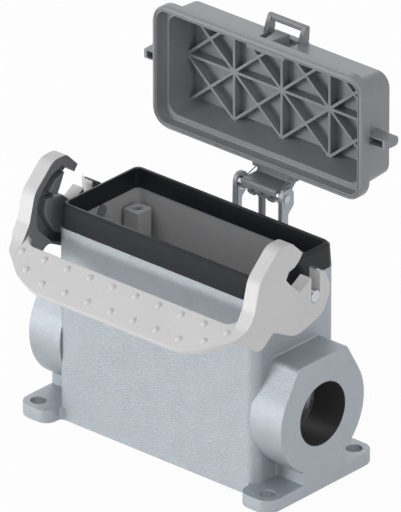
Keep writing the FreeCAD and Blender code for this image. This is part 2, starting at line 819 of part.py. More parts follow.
def lid_spring(side):
    """Torsion spring round the pin: one leg down to the stop web, one up to the lid's plate."""
    coil_r = HINGE_PIN_R + SPRING_WIRE_R + SPRING_PLAY
    half_pitch = SPRING_WIRE_R + SPRING_COIL_GAP / 2
    up = Vector(0, 0, 1)
    bend = Vector(EAR_GAP - SPRING_WIRE_R - SPRING_LEG_GAP, HINGE_Y - coil_r, HINGE_Z)
    foot_z = stop_web_top() + SPRING_LEG_GAP
    sideways = Vector(1, 0, 0)
    foot = wire_section(Vector(bend.x, bend.y, foot_z), up, sideways)
    pieces = [foot.extrude(up * (bend.z - foot_z))]
    heading = up
    half_turns = 2 * SPRING_TURNS
    for half_turn in range(half_turns + 1):
        across = Vector(-half_pitch, 2 * (HINGE_Y - bend.y), 0)
        centre = bend + across * 0.5
        axis = (bend - centre).cross(heading).normalize()
        angle = SPRING_LEG_ANGLE if half_turn == half_turns else 180
        pieces.append(wire_section(bend, heading, axis).revolve(centre, axis, angle))
        turn = FreeCAD.Rotation(axis, angle)
        bend = centre + turn.multVec(bend - centre)
        heading = turn.multVec(heading)
    plate_face = HINGE_Y + HINGE_PLATE_BACK - HINGE_PLATE - SPRING_WIRE_R - SPRING_LEG_GAP
    tip = wire_section(bend, heading, axis)
    pieces.append(tip.extrude(heading * ((plate_face - bend.y) / heading.y)))
    spring = pieces[0].fuse(pieces[1:])
    return spring if side > 0 else mirrored_x(spring)


def main():
    """Build every piece and write one file for each."""
    os.makedirs("parts", exist_ok=True)
    pieces = {
        "housing_body": housing_body(),
        "rim_gasket": rim_gasket(),
        "lever_pivot_pin_left": pivot_pin(-1),
        "lever_pivot_pin_right": pivot_pin(1),
        "locking_lever": locking_lever(),
        "protective_lid": protective_lid(),
        "lid_hinge_pin": lid_hinge_pin(),
        "lid_spring_left": lid_spring(-1),
        "lid_spring_right": lid_spring(1),
    }
    for name, shape in pieces.items():
        shape.exportStep(f"parts/{name}.step")
        print(name, shape.isValid(), len(shape.Solids), round(shape.Volume, 1))


main()
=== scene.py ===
"""Looks of a surface-mount connector housing with a locking lever and a hinged lid, both open."""

import json
import math

import bmesh
import bpy
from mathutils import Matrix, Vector


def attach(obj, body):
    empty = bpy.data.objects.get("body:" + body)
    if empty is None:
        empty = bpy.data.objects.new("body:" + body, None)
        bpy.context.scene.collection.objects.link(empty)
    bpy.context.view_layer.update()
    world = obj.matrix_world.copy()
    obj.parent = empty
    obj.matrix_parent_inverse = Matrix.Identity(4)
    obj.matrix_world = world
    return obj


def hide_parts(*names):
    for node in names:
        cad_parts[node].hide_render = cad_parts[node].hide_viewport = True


bl_info = {
    "name": "Surface-mount connector housing",
    "version": (1, 0, 0),
    "blender": (4, 5, 0),
    "location": "View3D > Sidebar > Connector",
    "description": "Dresses the casting, gasket, locking lever and lid, and sets the stage",
    "category": "Object",
}

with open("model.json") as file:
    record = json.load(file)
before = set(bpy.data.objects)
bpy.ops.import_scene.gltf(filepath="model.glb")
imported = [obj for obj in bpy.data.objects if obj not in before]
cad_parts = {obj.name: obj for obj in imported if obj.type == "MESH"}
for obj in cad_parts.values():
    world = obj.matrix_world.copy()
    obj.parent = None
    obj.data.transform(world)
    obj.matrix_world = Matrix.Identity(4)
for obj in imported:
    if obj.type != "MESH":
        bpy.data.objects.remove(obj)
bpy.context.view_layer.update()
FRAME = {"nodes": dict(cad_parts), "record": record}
MM = 0.001
TINY = 1e-6

# Joining of the frame's triangles: corners that are one, and turns within one flat face
JOINED = 0.0001 * MM
FLAT = math.radians(0.4)
NEAR_AXIS = 0.9

# Rounding of edges: which edges are sharp, and which run straight on from each other
SHARP_TURN = math.radians(30.0)
STRAIGHT_TURN = math.radians(140.0)

# Where an edge looks over its faces, and the shares of the free room that a rounding takes
PROBES = (0.08, 0.5, 0.92)
CORNER_SHARE = 0.8
FACING_SHARE = 0.42

# How far a rounding may differ from its neighbour's
EVENING_PASSES = 6
NEIGHBOUR_GROWTH = 1.4
GROWTH_STEP = 0.01 * MM

# How folded faces are found and their roundings eased
EASING_PASSES = 6
EASED_SHARE = 0.5
FOLD_SHARE = 1.002
PLANE_SLACK = 0.02 * MM

# Grip bumps: how many in each row, and where the lower row's end bumps sit, in pitches
UPPER_BUMPS = 10
LOWER_BUMPS = 7
END_BUMP = 3.9
DOME_SEGMENTS = 20
DOME_RINGS = 10

# Lamps: name, setting with the power, place, width and height, in metres
LAMPS = (
    ("key_light", "key", (-0.62, -1.0, 0.12), 0.6, 0.18),
    ("top_light", "top", (-0.35, -0.6, 0.9), 0.4, 0.4),
    ("back_light", "back", (-0.8, 0.9, 0.6), 0.5, 0.5),
    ("side_light", "side", (1.0, -0.25, 0.35), 0.4, 0.4),
)


def length_prop(name, description, default):
    """A length in metres that the panel shows."""
    return bpy.props.FloatProperty(
        name=name, description=description, default=default,
        min=0.0, precision=5, unit="LENGTH",
    )


def colour_prop(name, description, default):
    """A colour that the panel shows."""
    return bpy.props.FloatVectorProperty(
        name=name, description=description, default=default,
        size=3, min=0.0, max=1.0, subtype="COLOR",
    )


def angle_prop(name, description, degrees):
    """An angle that the panel shows, given in degrees."""
    return bpy.props.FloatProperty(
        name=name, description=description, default=math.radians(degrees), unit="ROTATION"
    )


def plain_prop(name, description, default):
    """A number that the panel shows."""
    return bpy.props.FloatProperty(name=name, description=description, default=default, min=0.0)


def factor_prop(name, description, default):
    """A share between nothing and one that the panel shows."""
    return bpy.props.FloatProperty(
        name=name, description=description, default=default, min=0.0, max=1.0, subtype="FACTOR"
    )


class CastingSettings(bpy.types.PropertyGroup):
    """Sizes and colours of the housing casting."""

    colour: colour_prop("Coating", "Colour of the powder coated casting", (0.385, 0.42, 0.455))
    speckle: colour_prop("Speckle", "Colour of the coating's lighter grains", (0.475, 0.51, 0.54))
    grain: length_prop("Grain", "Size of one grain of the cast surface", 0.42 * MM)
    coat_relief: length_prop("Coat relief", "Height of the grains outside", 0.24 * MM)
    relief: length_prop("Inside relief", "Height of the grains inside", 0.03 * MM)
    edge: length_prop("Edge", "Rounding of the casting's outer edges", 0.55 * MM)
    roughness: factor_prop("Roughness", "Roughness of the coating", 0.42)
    metallic: factor_prop("Metallic", "How much the coating shines like metal", 0.5)
    inside_colour: colour_prop("Inside", "Colour of the walls inside", (0.50, 0.495, 0.50))
    # Bore colour: near-black painted shade on the cable entries' bore walls, standing in for the
    # shade deep in the bores
    bore_shade_colour: colour_prop("Entry bore", "Colour inside the cable entries", (0.045, 0.042, 0.042))
    cavity_x: length_prop("Cavity half length", "Reach of the inside along the housing", 44.2 * MM)
    cavity_y: length_prop("Cavity half width", "Reach of the inside across the housing", 19.6 * MM)
    floor: length_prop("Cavity floor", "Height from which the inside starts", 1.5 * MM)
    entry_z: length_prop("Entry height", "Height of the middle of the cable entries", 28.8 * MM)
    # Radius of the mask within which the bore walls get the painted shade
    bore_shade_radius: length_prop("Entry radius", "Radius within which a cable entry is dark", 11.75 * MM)


class GasketSettings(bpy.types.PropertyGroup):
    """Sizes and colours of the rim gasket."""

    colour: colour_prop("Rubber", "Colour of the rubber", (0.018, 0.020, 0.023))
    grain: length_prop("Grain", "Size of one grain of the rubber", 0.5 * MM)
    relief: length_prop("Relief", "Height of the grains", 0.03 * MM)
    edge: length_prop("Edge", "Rounding of the gasket's edges", 0.45 * MM)
    roughness: factor_prop("Roughness", "Roughness of the rubber", 0.3)
    shine: factor_prop("Shine", "Strength of the rubber's reflections", 0.22)


class LeverSettings(bpy.types.PropertyGroup):
    """Sizes and colours of the locking lever."""

    colour: colour_prop("Plastic", "Colour of the lever", (0.60, 0.585, 0.585))
    inner_colour: colour_prop("Inner side", "Colour of the arms' inner sides", (0.17, 0.175, 0.185))
    inner_x: length_prop("Lining from", "Distance of the arms' inner sides", 48.0 * MM)
    outer_x: length_prop("Lining to", "Distance of the arms' outer skin", 53.6 * MM)
    hollow: length_prop("Hollow depth", "Depth from which an arm's hollow is all lined", 1.5 * MM)
    lining_front: length_prop("Lining front", "Where the lining ends before the bar", 33.5 * MM)
    grain: length_prop("Grain", "Size of one grain of the plastic", 0.5 * MM)
    relief: length_prop("Relief", "Height of the grains", 0.02 * MM)
    edge: length_prop("Edge", "Rounding of the lever's edges", 0.6 * MM)
    roughness: factor_prop("Roughness", "Roughness of the lever", 0.45)
    bar_front: length_prop("Bar front", "How far in front of the pins the bar starts", 34.4 * MM)
    bar_height: length_prop("Bar height", "Height of the bar's inner edge", 71.5 * MM)
    tilt: angle_prop("Bar tilt", "Slope of the handle bar", 34.0)
    bump_radius: length_prop("Bump radius", "Radius of one grip bump", 1.2 * MM)
    bump_height: length_prop("Bump height", "Height of one grip bump", 0.6 * MM)
    bump_pitch: length_prop("Bump pitch", "Distance between two grip bumps", 10.4 * MM)
    upper_row: length_prop("Upper row", "Distance from the bar's inner edge", 3.0 * MM)
    lower_row: length_prop("Lower row", "Distance from the bar's inner edge", 11.5 * MM)
    row_shift: length_prop("Row shift", "How far the lower row's end bumps move in", 2.7 * MM)


class LidSettings(bpy.types.PropertyGroup):
    """Sizes and colours of the protective lid."""

    colour: colour_prop("Plastic", "Colour of the lid", (0.23, 0.235, 0.245))
    grain: length_prop("Grain", "Size of one grain of the plastic", 0.4 * MM)
    relief: length_prop("Relief", "Height of the grains", 0.02 * MM)
    edge: length_prop("Edge", "Rounding of the lid's edges", 0.35 * MM)
    roughness: factor_prop("Roughness", "Roughness of the lid", 0.4)


class HingeSettings(bpy.types.PropertyGroup):
    """Colours and finish of the pins and springs."""

    pin_colour: colour_prop("Hinge pin", "Colour of the lid's pin", (0.50, 0.50, 0.54))
    rivet_colour: colour_prop("Pivot pins", "Colour of the lever's pins", (0.55, 0.58, 0.62))
    spring_colour: colour_prop("Springs", "Colour of the spring wire", (0.78, 0.78, 0.79))
    pin_roughness: factor_prop("Pin roughness", "Roughness of the lid's pin", 0.35)
    rivet_roughness: factor_prop("Pivot roughness", "Roughness of the lever's pins", 0.3)
    spring_roughness: factor_prop("Spring roughness", "Roughness of the spring wire", 0.2)
    grain: length_prop("Grain", "Size of the marks in the plating", 0.3 * MM)


class StageSettings(bpy.types.PropertyGroup):
    """Camera, light and floor."""

    azimuth: angle_prop("Azimuth", "Camera turn from the front", 41.6)
    elevation: angle_prop("Elevation", "Camera height angle", 26.6)
    distance: length_prop("Distance", "Distance from the camera to the part", 4.862)
    target_y: length_prop("Target Y", "Where the camera looks, to the back", 2.4 * MM)
    target_z: length_prop("Target Z", "Where the camera looks, above the base", 68.7 * MM)
    lens: plain_prop("Lens", "Focal length in millimetres", 1000.0)
    key: plain_prop("Key light", "Power of the key light in watts", 7.0)
    top: plain_prop("Top light", "Power of the top light in watts", 1.0)
    back: plain_prop("Back light", "Power of the back light in watts", 1.2)
    side: plain_prop("Side light", "Power of the side light in watts", 1.6)
    ambient: plain_prop("Ambient", "Strength of the studio's light on the part", 0.6)
    ambient_colour: colour_prop("Ambient colour", "Colour of the studio's light", (0.96, 0.98, 1.0))
    floor_colour: colour_prop("Floor", "Colour of the floor", (0.9, 0.9, 0.9))
    floor_roughness: factor_prop("Floor roughness", "Roughness of the floor", 0.9)
    floor_white: factor_prop("Floor white", "How far the floor is shown as plain white", 0.95)
    floor_half: length_prop("Floor reach", "Distance from the middle to the floor's sides", 6.0)
    floor_drop: length_prop("Floor drop", "How far the floor lies below the base", 0.1 * MM)


class ConnectorSettings(bpy.types.PropertyGroup):
    """All settings of the connector, one group for each piece."""

    casting: bpy.props.PointerProperty(name="Casting", type=CastingSettings)
    gasket: bpy.props.PointerProperty(name="Gasket", type=GasketSettings)
    lever: bpy.props.PointerProperty(name="Lever", type=LeverSettings)
    lid: bpy.props.PointerProperty(name="Lid", type=LidSettings)
    hinge: bpy.props.PointerProperty(name="Hinge", type=HingeSettings)
    stage: bpy.props.PointerProperty(name="Stage", type=StageSettings)


def settings():
    """The settings of the open scene."""
    return bpy.context.scene.connector


def body_holding(node):
    """Name of the body that carries a node."""
    for name, nodes in FRAME["record"]["behaviour"]["bodies"].items():
        if node in nodes:
            return name
    raise RuntimeError(f"no body holds {node}")


class Finish:
    """A node material in the making: its tree, its shader and its Object coordinates."""

    def __init__(self, name, colour, roughness, metallic=0.0):
        self.material = bpy.data.materials.new(name)
        self.material.use_nodes = True
        self.tree = self.material.node_tree
        self.shader = self.tree.nodes["Principled BSDF"]
        self.shader.inputs["Base Color"].default_value = (*colour, 1.0)
        self.shader.inputs["Roughness"].default_value = roughness
        self.shader.inputs["Metallic"].default_value = metallic
        self.coords = self.tree.nodes.new("ShaderNodeTexCoord").outputs["Object"]

    def noise(self, size, detail=2.0, roughness=0.5):
        """Noise with grains of a size in metres."""
        node = self.tree.nodes.new("ShaderNodeTexNoise")
        node.inputs["Scale"].default_value = 1.0 / size
        node.inputs["Detail"].default_value = detail
        node.inputs["Roughness"].default_value = roughness
        self.tree.links.new(self.coords, node.inputs["Vector"])
        return node.outputs["Fac"]

    def ramp(self, value, low_colour, high_colour, low=0.3, high=0.7):
        """Colour that runs from one to another between two levels of a value."""
        node = self.tree.nodes.new("ShaderNodeValToRGB")
        first, last = node.color_ramp.elements
        first.position = low
        last.position = high
        first.color = (*low_colour, 1.0)
        last.color = (*high_colour, 1.0)
        self.tree.links.new(value, node.inputs["Fac"])
        return node.outputs["Color"]

    def mixed(self, first, second, factor):
        """Two colours mixed by a fixed factor."""
        node = self.tree.nodes.new("ShaderNodeMix")
        node.data_type = "RGBA"
        node.inputs["Factor"].default_value = factor
        self.tree.links.new(first, node.inputs["A"])
        self.tree.links.new(second, node.inputs["B"])
        return node.outputs["Result"]

    def paint(self, colour):
        """Take the base colour from the nodes."""
        self.tree.links.new(colour, self.shader.inputs["Base Color"])

    def roughen(self, value, roughness, spread):
        """Let the roughness follow a value, a little up and down."""
        node = self.tree.nodes.new("ShaderNodeMapRange")
        node.inputs["To Min"].default_value = roughness - spread
        node.inputs["To Max"].default_value = roughness + spread
        self.tree.links.new(value, node.inputs["Value"])
        self.tree.links.new(node.outputs["Result"], self.shader.inputs["Roughness"])

    def bump(self, value, strength, depth):
        """Raise the surface by a value."""
        node = self.tree.nodes.new("ShaderNodeBump")
        node.inputs["Strength"].default_value = strength
        node.inputs["Distance"].default_value = depth
        self.tree.links.new(value, node.inputs["Height"])
        self.tree.links.new(node.outputs["Normal"], self.shader.inputs["Normal"])


def shades(colour, darker, lighter):
    """Two shades of a colour."""
    return tuple(
        tuple(min(1.0, channel * factor) for channel in colour) for factor in (darker, lighter)
    )


def powder_coat(values):
    """Fine grained coating over the cast metal."""
    finish = Finish("powder_coat", values.colour, values.roughness, values.metallic)
    grains = finish.noise(values.grain, detail=3.0, roughness=0.65)
    darker, _ = shades(values.colour, 0.9, 1.0)
    flecks = finish.ramp(grains, darker, values.speckle, low=0.42, high=0.66)
    patches = finish.noise(18 * values.grain)
    mottling = finish.ramp(patches, *shades(values.colour, 0.93, 1.05))
    finish.paint(finish.mixed(mottling, flecks, 0.55))
    finish.roughen(grains, values.roughness, 0.1)
    finish.bump(grains, 0.9, values.coat_relief)
    return finish.material


def moulded(name, values, colour=None):
    """Satin moulded plastic with a faint eroded texture."""
    colour = tuple(colour or values.colour)
    finish = Finish(name, colour, values.roughness)
    fine = finish.noise(values.grain)
    tone = finish.ramp(fine, *shades(colour, 0.96, 1.04))
    cloud = finish.noise(30 * values.grain, detail=1.0)
    drift = finish.ramp(cloud, *shades(colour, 0.97, 1.03))
    finish.paint(finish.mixed(tone, drift, 0.5))
    finish.roughen(fine, values.roughness, 0.05)
    finish.bump(fine, 0.25, values.relief)
    return finish.material


def steel(name, colour, roughness, grain):
    """Plated steel with faint marks."""
    finish = Finish(name, colour, roughness, metallic=1.0)
    marks = finish.noise(grain)
    finish.paint(finish.ramp(marks, *shades(colour, 0.9, 1.08)))
    finish.roughen(marks, roughness, 0.08)
    return finish.material


def cast_in(node, material):
    """Give a frame node one material."""
    part = FRAME["nodes"][node]
    part.data.materials.clear()
    part.data.materials.append(material)


def facing_edges(loop):
    """Free distances over a face from three points of an edge, each with the edge that it meets."""
    start = loop.vert.co
    end = loop.link_loop_next.vert.co
    along = (end - start).normalized()
    inward = loop.face.normal.cross(along)
    met = []
    for share in PROBES:
        point = start.lerp(end, share)
        nearest = math.inf
        opposite = None
        for other in loop.face.loops:
            if other.edge.seam:
                continue
            first = other.vert.co - point
            second = other.link_loop_next.vert.co - point
            near_side = first.dot(along)
            far_side = second.dot(along)
            if near_side * far_side > 0 or near_side == far_side:
                continue
            reach = first.lerp(second, near_side / (near_side - far_side)).dot(inward)
            if TINY < reach < nearest:
                nearest = reach
                opposite = other.edge
        if opposite:
            met.append((nearest, opposite))
    return met


def turn_at(before, after, normal):
    """Angle by which an outline turns inwards from one edge to the next."""
    first = before.link_loop_next.vert.co - before.vert.co
    second = after.link_loop_next.vert.co - after.vert.co
    if first.length < TINY or second.length < TINY:
        return 0.0
    return math.copysign(first.angle(second), first.cross(second).dot(normal))


def corner_room(loop, room):
    """How far an edge may move into its face before its rounded neighbours swallow it."""
    closing = 0.0
    previous = loop.link_loop_prev
    following = loop.link_loop_next
    if previous.edge in room:
        closing += math.tan(turn_at(previous, loop, loop.face.normal) / 2)
    if following.edge in room:
        closing += math.tan(turn_at(loop, following, loop.face.normal) / 2)
    return loop.edge.calc_length() / closing if closing > TINY else math.inf


def in_line(edge, other, vertex):
    """Whether two edges run on almost straight through their shared corner."""
    first = edge.other_vert(vertex).co - vertex.co
    second = other.other_vert(vertex).co - vertex.co
    if first.length < TINY or second.length < TINY:
        return True
    return first.angle(second) > STRAIGHT_TURN


def weigh_edges(work, edge_width):
    """Give each sharp edge the largest rounding, up to a width, that its faces have room for."""
    layer = work.edges.layers.float.new("bevel_weight_edge")
    room = {
        edge: edge_width for edge in work.edges
        if len(edge.link_faces) == 2 and edge.calc_face_angle(0.0) > SHARP_TURN
    }
    for edge in room:
        for loop in edge.link_loops:
            room[edge] = min(room[edge], CORNER_SHARE * corner_room(loop, room))
            for distance, opposite in facing_edges(loop):
                for touched in (edge, opposite):
                    if touched in room:
                        room[touched] = min(room[touched], FACING_SHARE * distance)
    for _ in range(EVENING_PASSES):
        for edge in room:
            for vertex in edge.verts:
                for other in vertex.link_edges:
                    if other is not edge and other in room and in_line(edge, other, vertex):
                        room[edge] = min(room[edge], NEIGHBOUR_GROWTH * room[other] + GROWTH_STEP)
    for edge, width in room.items():
        edge[layer] = width / edge_width


def flat_regions(work):
    """Groups of touching faces that lie in one plane."""
    seen = set()
    regions = []
    for start in work.faces:
        if start in seen:
            continue
        seen.add(start)
        region = [start]
        for face in region:
            for edge in face.edges:
                for other in edge.link_faces:
                    if other not in seen and start.normal.angle(other.normal, math.pi) < FLAT:
                        seen.add(other)
                        region.append(other)
        regions.append(region)
    return regions


def outlines(region):
    """Corner places of each closed outline of a flat region, the longest outline last."""
    inside = set(region)
    border = dict.fromkeys(
        edge for face in region for edge in face.edges
        if sum(other in inside for other in edge.link_faces) == 1
    )
    rings = []
    while border:
        chain = [border.popitem()[0]]
        for edge in chain:
            for vertex in edge.verts:
                for other in vertex.link_edges:
                    if other in border:
                        del border[other]
                        chain.append(other)
        rings.append([vertex.co.copy() for edge in chain for vertex in edge.verts])
    return sorted(rings, key=lambda ring: max((point - ring[0]).length for point in ring))


def open_rings(work):
    """Cut each flat region through its holes, so that no face has to close round one."""
    for region in flat_regions(work):
        rings = outlines(region)
        if len(rings) < 2:
            continue
        normal = region[0].normal.copy()
        across = abs(normal.x) < NEAR_AXIS
        heading = Vector((1.0, 0.0, 0.0)) if across else Vector((0.0, 0.0, 1.0))
        side = normal.cross(heading).normalized()
        cuts = []
        pieces = region
        for ring in rings[:-1]:
            low = min(point.dot(side) for point in ring)
            high = max(point.dot(side) for point in ring)
            if any(low < cut < high for cut in cuts):
                continue
            cuts.append((low + high) / 2)
            parts = dict.fromkeys(pieces)
            parts.update(dict.fromkeys(edge for face in pieces for edge in face.edges))
            parts.update(dict.fromkeys(vertex for face in pieces for vertex in face.verts))
            done = bmesh.ops.bisect_plane(
                work, geom=list(parts), plane_co=side * cuts[-1], plane_no=side, dist=JOINED
            )
            pieces = [item for item in done["geom"] if isinstance(item, bmesh.types.BMFace)]
            for item in done["geom_cut"]:
                if isinstance(item, bmesh.types.BMEdge):
                    item.seam = True


def merged_mesh(node, edge_width):
    """Copy of a node's mesh with its triangles joined into flat faces and its edges weighed."""
    work = bmesh.new()
    work.from_mesh(FRAME["nodes"][node].data)
    bmesh.ops.remove_doubles(work, verts=work.verts, dist=JOINED)
    work.normal_update()
    open_rings(work)
    bmesh.ops.dissolve_limit(
        work, angle_limit=FLAT, verts=work.verts, edges=work.edges,
        use_dissolve_boundaries=False, delimit={"SEAM"},
    )
    work.normal_update()
    weigh_edges(work, edge_width)
    mesh = bpy.data.meshes.new(f"{node}_soft")
    work.to_mesh(mesh)
    work.free()
    for spare in [layer.name for layer in mesh.attributes if layer.name == "custom_normal"]:
        mesh.attributes.remove(mesh.attributes[spare])
    return mesh


def folded_planes(mesh):
    """Planes of the faces whose outline crosses itself."""
    mesh.calc_loop_triangles()
    filled = [0.0] * len(mesh.polygons)
    for triangle in mesh.loop_triangles:
        filled[triangle.polygon_index] += triangle.area
    return [
        (face.normal.copy(), face.center.dot(face.normal))
        for face in mesh.polygons
        if face.loop_total > 4 and filled[face.index] > FOLD_SHARE * face.area + TINY * TINY
    ]


def ease_planes(mesh, planes):
    """Lessen the rounding of the edges that lie in the given planes."""
    weights = mesh.attributes["bevel_weight_edge"].data
    for edge in mesh.edges:
        places = [mesh.vertices[index].co for index in edge.vertices]
        for normal, level in planes:
            if all(abs(place.dot(normal) - level) < PLANE_SLACK for place in places):
                weights[edge.index].value *= EASED_SHARE
                break


def rounded(mesh, edge_width, segments):
    """Mesh with its edges rounded as far as they are weighed."""
    mesh.shade_smooth()
    piece = bpy.data.objects.new("rounding", mesh)
    bpy.context.scene.collection.objects.link(piece)
    bevel = piece.modifiers.new("edges", "BEVEL")
    bevel.width = edge_width
    bevel.segments = segments
    bevel.limit_method = "WEIGHT"
    bevel.use_clamp_overlap = False
    bevel.loop_slide = False
    piece.modifiers.new("shading", "WEIGHTED_NORMAL")
    for _ in range(EASING_PASSES):
        graph = bpy.context.evaluated_depsgraph_get()
        result = bpy.data.meshes.new_from_object(piece.evaluated_get(graph))
        planes = folded_planes(result)
        if not planes:
            break
        ease_planes(mesh, planes)
        mesh.update()
    bpy.data.objects.remove(piece)
    return result


def softened(node, name, edge, material, segments=2):
    """Piece that stands for a node: the same form with rounded edges."""
    finished = rounded(merged_mesh(node, edge), edge, segments)
    finished.name = name
    piece = bpy.data.objects.new(name, finished)
    bpy.context.scene.collection.objects.link(piece)
    finished.materials.clear()
    finished.materials.append(material)
    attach(piece, body_holding(node))
    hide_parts(node)
    return piece


def line_arms(mesh, values, lining):
    """Give the arms' inner sides and their hollows the darker lining."""
    lined = len(mesh.materials)
    mesh.materials.append(lining)
    for face in mesh.polygons:
        side = math.copysign(1.0, face.center.x)
        reach = max(mesh.vertices[index].co.x * side for index in face.vertices)
        inwards = -face.normal.x * side
        hollow = reach > values.inner_x + values.hollow
        within = face.center.x * side > values.inner_x and reach < values.outer_x
        behind_bar = face.center.y > -values.lining_front
        if within and behind_bar and (hollow or inwards > 0.5):
            face.material_index = lined


def line_housing(mesh, values, inside, bore_shade):
    """Give the cavity its plain inside, and paint the cable entries' bore walls near-black as
    painted shade.
    """
    plain = len(mesh.materials)
    mesh.materials.append(inside)
    mesh.materials.append(bore_shade)
    for face in mesh.polygons:
        places = [mesh.vertices[index].co for index in face.vertices]
        if all(
            abs(place.x) < values.cavity_x
            and abs(place.y) < values.cavity_y
            and place.z > values.floor
            for place in places
        ):
            face.material_index = plain
        # Faces of the cable entries' bore walls get the near-black painted shade
        elif all(
            math.hypot(place.y, place.z - values.entry_z) < values.bore_shade_radius for place in places
        ):
            face.material_index = plain + 1


def bake_modifiers(piece):
    """Turn a piece's modifiers into plain mesh."""
    graph = bpy.context.evaluated_depsgraph_get()
    mesh = bpy.data.meshes.new_from_object(piece.evaluated_get(graph))
    mesh.name = piece.name
    piece.modifiers.clear()
    piece.data = mesh


def grip_bump_tree():
    """Geometry nodes that set a low dome on each point, square to the bar."""
    tree = bpy.data.node_groups.new("grip_bumps", "GeometryNodeTree")
    face = tree.interface
    face.new_socket("Geometry", in_out="INPUT", socket_type="NodeSocketGeometry")
    radius = face.new_socket("Radius", in_out="INPUT", socket_type="NodeSocketFloat")
    height = face.new_socket("Height", in_out="INPUT", socket_type="NodeSocketFloat")
    tilt = face.new_socket("Tilt", in_out="INPUT", socket_type="NodeSocketFloat")
    finish = face.new_socket("Finish", in_out="INPUT", socket_type="NodeSocketMaterial")
    face.new_socket("Geometry", in_out="OUTPUT", socket_type="NodeSocketGeometry")
    nodes = tree.nodes
    entry = nodes.new("NodeGroupInput")
    leave = nodes.new("NodeGroupOutput")
    dome = nodes.new("GeometryNodeMeshUVSphere")
    dome.inputs["Segments"].default_value = DOME_SEGMENTS
    dome.inputs["Rings"].default_value = DOME_RINGS
    dome.inputs["Radius"].default_value = 1.0
    size = nodes.new("ShaderNodeCombineXYZ")
    turn = nodes.new("ShaderNodeCombineXYZ")
    place = nodes.new("GeometryNodeInstanceOnPoints")
    real = nodes.new("GeometryNodeRealizeInstances")
    smooth = nodes.new("GeometryNodeSetShadeSmooth")
    coat = nodes.new("GeometryNodeSetMaterial")
    link = tree.links.new
    link(entry.outputs["Radius"], size.inputs["X"])
    link(entry.outputs["Radius"], size.inputs["Y"])
    link(entry.outputs["Height"], size.inputs["Z"])
    link(entry.outputs["Tilt"], turn.inputs["X"])
    link(entry.outputs["Geometry"], place.inputs["Points"])
    link(dome.outputs["Mesh"], place.inputs["Instance"])
    link(size.outputs["Vector"], place.inputs["Scale"])
    link(turn.outputs["Vector"], place.inputs["Rotation"])
    link(place.outputs["Instances"], real.inputs["Geometry"])
    link(real.outputs["Geometry"], smooth.inputs["Geometry"])
    link(smooth.outputs["Geometry"], coat.inputs["Geometry"])
    link(entry.outputs["Finish"], coat.inputs["Material"])
    link(coat.outputs["Geometry"], leave.inputs["Geometry"])
    sockets = {"Radius": radius, "Height": height, "Tilt": tilt, "Finish": finish}
    return tree, {name: socket.identifier for name, socket in sockets.items()}


def bump_centres(values):
    """Centres of the grip bumps on the bar's upper face."""
    outward = Vector((0, -math.cos(values.tilt), -math.sin(values.tilt)))
    edge = Vector((0, -values.bar_front, values.bar_height))
    rows = []
    for count, reach in ((UPPER_BUMPS, values.upper_row), (LOWER_BUMPS, values.lower_row)):
        rows += [(column - (count - 1) / 2, reach) for column in range(count)]
    rows += [(side * END_BUMP, values.lower_row - values.row_shift) for side in (-1, 1)]
    return [
        edge + outward * reach + Vector((column * values.bump_pitch, 0, 0))
        for column, reach in rows
    ]


class CONNECTOR_OT_casting(bpy.types.Operator):
    """Dress the housing casting with rounded edges and its powder coat"""

    bl_idname = "connector.casting"
    bl_label = "Casting"

    def execute(self, context):
        values = settings().casting
        casting = softened("housing_body", "casting", values.edge, powder_coat(values))
        inside = moulded("casting_inside", values, values.inside_colour)
        # Near-black painted shade for the bore walls of the cable entries
        bore_shade = moulded("entry_bore", values, values.bore_shade_colour)
        line_housing(casting.data, values, inside, bore_shade)
        return {"FINISHED"}


class CONNECTOR_OT_gasket(bpy.types.Operator):
    """Dress the rim gasket as soft black rubber"""

    bl_idname = "connector.gasket"
    bl_label = "Gasket"

    def execute(self, context):
        values = settings().gasket
        rubber = moulded("rubber", values)
        shader = rubber.node_tree.nodes["Principled BSDF"]
        shader.inputs["Specular IOR Level"].default_value = values.shine
        softened("rim_gasket", "gasket", values.edge, rubber, segments=3)
        return {"FINISHED"}


class CONNECTOR_OT_lever(bpy.types.Operator):
    """Dress the locking lever and set the grip bumps on its bar"""

    bl_idname = "connector.lever"
    bl_label = "Locking lever"

    def execute(self, context):
        values = settings().lever
        plastic = moulded("lever_plastic", values)
        lever = softened("locking_lever", "lever", values.edge, plastic)
        lining = moulded("lever_lining", values, values.inner_colour)
        line_arms(lever.data, values, lining)
        carrier = bpy.data.meshes.new("grip_bumps")
        carrier.from_pydata([tuple(point) for point in bump_centres(values)], [], [])
        bumps = bpy.data.objects.new("grip_bumps", carrier)
        bpy.context.scene.collection.objects.link(bumps)
        tree, sockets = grip_bump_tree()
        nodes = bumps.modifiers.new("bumps", "NODES")
        nodes.node_group = tree
        nodes[sockets["Radius"]] = values.bump_radius
        nodes[sockets["Height"]] = values.bump_height
        nodes[sockets["Tilt"]] = values.tilt
        nodes[sockets["Finish"]] = plastic
        bake_modifiers(bumps)
        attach(bumps, "lever")
        return {"FINISHED"}


class CONNECTOR_OT_lid(bpy.types.Operator):
    """Dress the protective lid with its hinge arm and pull loop"""

    bl_idname = "connector.lid"
    bl_label = "Protective lid"

    def execute(self, context):
        values = settings().lid
        softened("protective_lid", "lid", values.edge, moulded("lid_plastic", values))
        return {"FINISHED"}


class CONNECTOR_OT_hinge(bpy.types.Operator):
    """Finish the pins and springs in plated steel"""

    bl_idname = "connector.hinge"
    bl_label = "Pins and springs"

    def execute(self, context):
        values = settings().hinge
        grain = values.grain
        pin = steel("hinge_steel", values.pin_colour, values.pin_roughness, grain)
        rivet = steel("pivot_steel", values.rivet_colour, values.rivet_roughness, grain)
        wire = steel("spring_steel", values.spring_colour, values.spring_roughness, grain)
        cast_in("lid_hinge_pin", pin)
        for side in ("left", "right"):
            cast_in(f"lever_pivot_pin_{side}", rivet)
            cast_in(f"lid_spring_{side}", wire)
        return {"FINISHED"}


